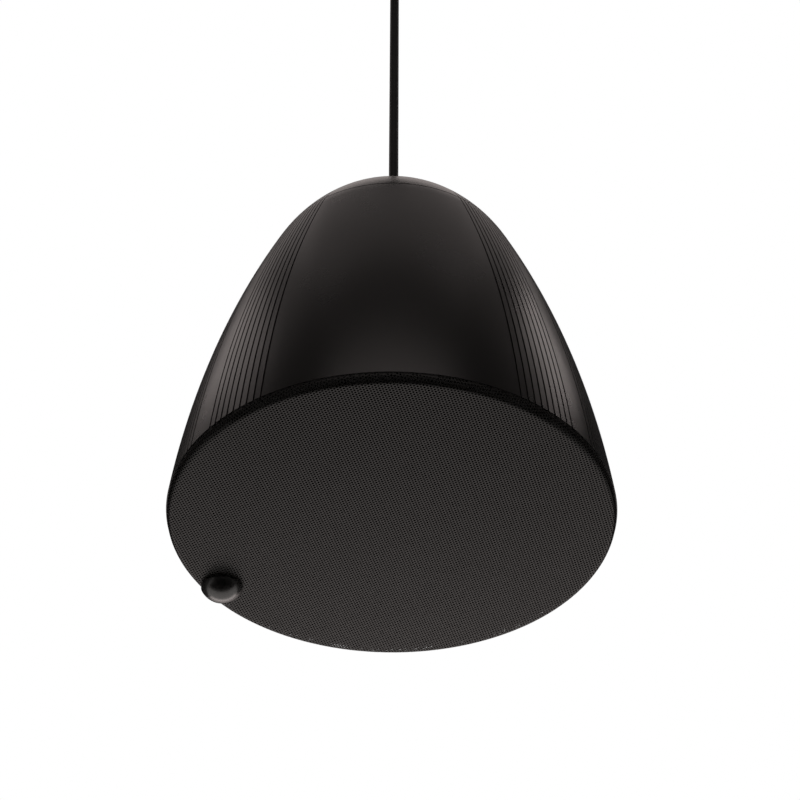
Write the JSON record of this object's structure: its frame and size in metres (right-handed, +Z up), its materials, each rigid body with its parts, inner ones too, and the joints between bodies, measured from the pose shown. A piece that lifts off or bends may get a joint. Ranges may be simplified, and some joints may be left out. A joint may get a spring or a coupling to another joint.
{
  "type": "pendant speaker",
  "caption": "Bell-shaped pendant loudspeaker with fine upright flutes, a domed cap and a round perforated grille, hung from a ceiling plate by one cable.",
  "frame": {"origin": "centre of the ceiling plate's top face, between its two screw holes, on the axis of the cable and the bell", "axes": "+Z up, out of the ceiling plate's top face; -Y is the side that the picture shows; +X is to the right seen from that side"},
  "size_m": [0.3014, 0.3014, 0.661],
  "materials": {
    "bell_plastic": "satin",
    "grille_steel": "satin black powder coat",
    "badge_plastic": "gloss",
    "cable_rubber": "matt",
    "foam": "open-cell foam",
    "wadding": "fibre wadding",
    "black_steel": "satin black",
    "zinc_steel": "zinc plated",
    "black_nylon": "matt",
    "soft_seal": "matt",
    "magnet_nickel": "nickel plated",
    "ferrite": "matt ceramic",
    "cone_plastic": "matt",
    "former_aluminium": "plain",
    "copper_wire": "enamelled copper",
    "spider_cloth": "stiffened cloth",
    "silk": "coated silk",
    "board_green": "solder mask",
    "capacitor_film": "gloss",
    "resistor_ceramic": "matt ceramic",
    "lamination": "varnished sheets",
    "terminal_plastic": "satin",
    "wire_insulation": "satin"
  },
  "bodies": {
    "hung_speaker": {"enclosure": "bell_plastic", "top_cap": "bell_plastic", "cap_seal": "soft_seal", "hanger_bracket": "zinc_steel", "bracket_screws": "zinc_steel", "gland_body": "black_nylon", "gland_locknut": "black_nylon", "gland_nut": "black_nylon", "gland_seal": "soft_seal", "cable_stop": "zinc_steel", "cable_tail": "cable_rubber", "cable": "cable_rubber", "ceiling_plate": "black_steel", "ceiling_grip": "black_steel", "grille": "grille_steel", "grille_liner": "foam", "grille_magnets": "magnet_nickel", "badge": "badge_plastic", "badge_clip": "zinc_steel", "baffle": "black_nylon", "baffle_gasket": "soft_seal", "baffle_screws": "zinc_steel", "port_tube": "black_nylon", "driver_basket": "black_steel", "driver_gasket": "soft_seal", "driver_screws": "zinc_steel", "top_plate": "zinc_steel", "ferrite_ring": "ferrite", "yoke": "zinc_steel", "surround": "soft_seal", "spider": "spider_cloth", "tweeter_stem": "zinc_steel", "tweeter_nut": "zinc_steel", "tweeter_housing": "black_nylon", "tweeter_magnet": "magnet_nickel", "tweeter_ring": "black_nylon", "tweeter_dome": "silk", "tap_switch": "black_nylon", "tap_nut": "zinc_steel", "crossover_board": "board_green", "crossover_screws": "zinc_steel", "crossover_inductor": "copper_wire", "crossover_capacitors": "capacitor_film", "crossover_resistor": "resistor_ceramic", "transformer_core": "lamination", "transformer_coil": "copper_wire", "transformer_strap": "zinc_steel", "transformer_pad": "soft_seal", "transformer_screws": "zinc_steel", "terminal_header": "terminal_plastic", "terminal_plug": "terminal_plastic", "terminal_screws": "zinc_steel", "conductors": "wire_insulation", "damping_lining": "wadding"},
    "voice_coil_and_cone": {"coil_former": "former_aluminium", "coil_winding": "copper_wire", "cone": "cone_plastic"},
    "selector_knob": {"tap_knob": "black_nylon"}
  },
  "joints": [
    {"name": "cone_travel", "type": "slide", "parent": "hung_speaker", "child": "voice_coil_and_cone", "axis": [0, 0, 1], "range_m": [-0.004, 0.004], "stiffness_N_per_m": 2000, "deforming": ["surround", "spider"]},
    {"name": "tap_turn", "type": "hinge", "parent": "hung_speaker", "child": "selector_knob", "pos_m": [0.11, 0, -0.63], "axis": [0, 0, 1], "range_deg": [0, 150]}
  ]
}
